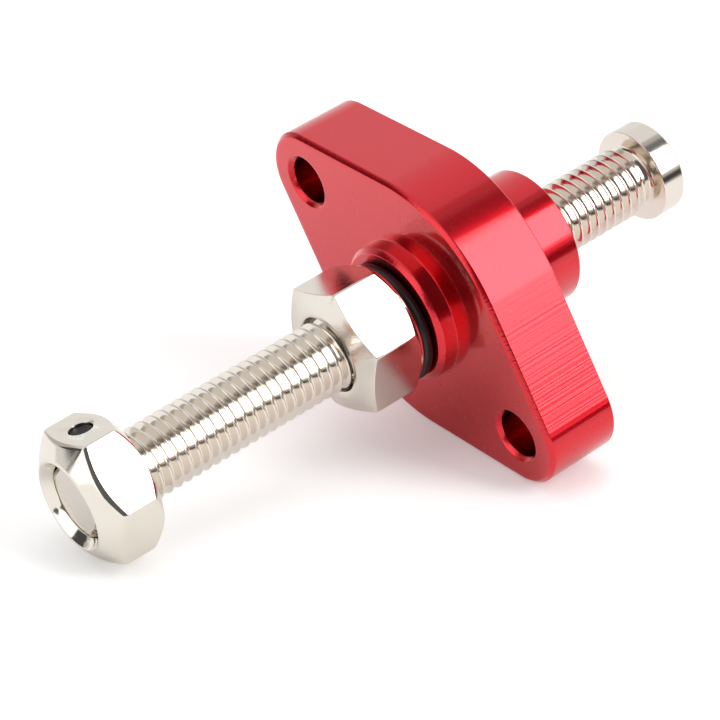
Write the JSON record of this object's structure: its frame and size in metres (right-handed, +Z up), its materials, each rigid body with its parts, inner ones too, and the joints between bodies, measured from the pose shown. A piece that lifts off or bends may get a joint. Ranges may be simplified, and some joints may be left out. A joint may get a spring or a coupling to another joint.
{
  "type": "cam chain tensioner",
  "caption": "Manual cam chain tensioner: a rhombic anodised flange with boss and spigot carries a threaded stud with a flat pusher, a lock nut on a rubber ring and a pinned end hexagon.",
  "frame": {"origin": "middle of the flange's mounting face, on the stud's axis", "axes": "+X along the stud into the engine, +Z up and square to the flange's level straight side"},
  "size_m": [0.0989, 0.0524, 0.038],
  "materials": {
    "red_anodised": "machined and anodised red, glossy",
    "nickel": "bright nickel plated steel",
    "rubber": "smooth black rubber",
    "black_steel": "black oxide"
  },
  "bodies": {
    "housing": {"tensioner_body": "red_anodised", "o_ring": "rubber"},
    "nut": {"lock_nut": "nickel"},
    "stud": {"adjuster_stud": "nickel"},
    "hex_end": {"hex_end_nut": "nickel", "lock_pin": "black_steel"}
  },
  "joints": [
    {"name": "nut_turn", "type": "hinge", "parent": "housing", "child": "nut", "pos_m": [-0.0202, 0, 0], "axis": [1, 0, 0], "range_deg": [-90, 0]},
    {"name": "stud_slide", "type": "slide", "parent": "housing", "child": "stud", "axis": [1, 0, 0], "range_m": [-0.01788, 0.03163]},
    {"name": "hex_turn", "type": "hinge", "parent": "stud", "child": "hex_end", "pos_m": [-0.0612, 0, 0], "axis": [1, 0, 0], "range_deg": [-4290, 7590]}
  ],
  "couplings": [
    {"joint": "stud_slide", "follows": "hex_turn", "m_per_rad": 0.00023873}
  ]
}
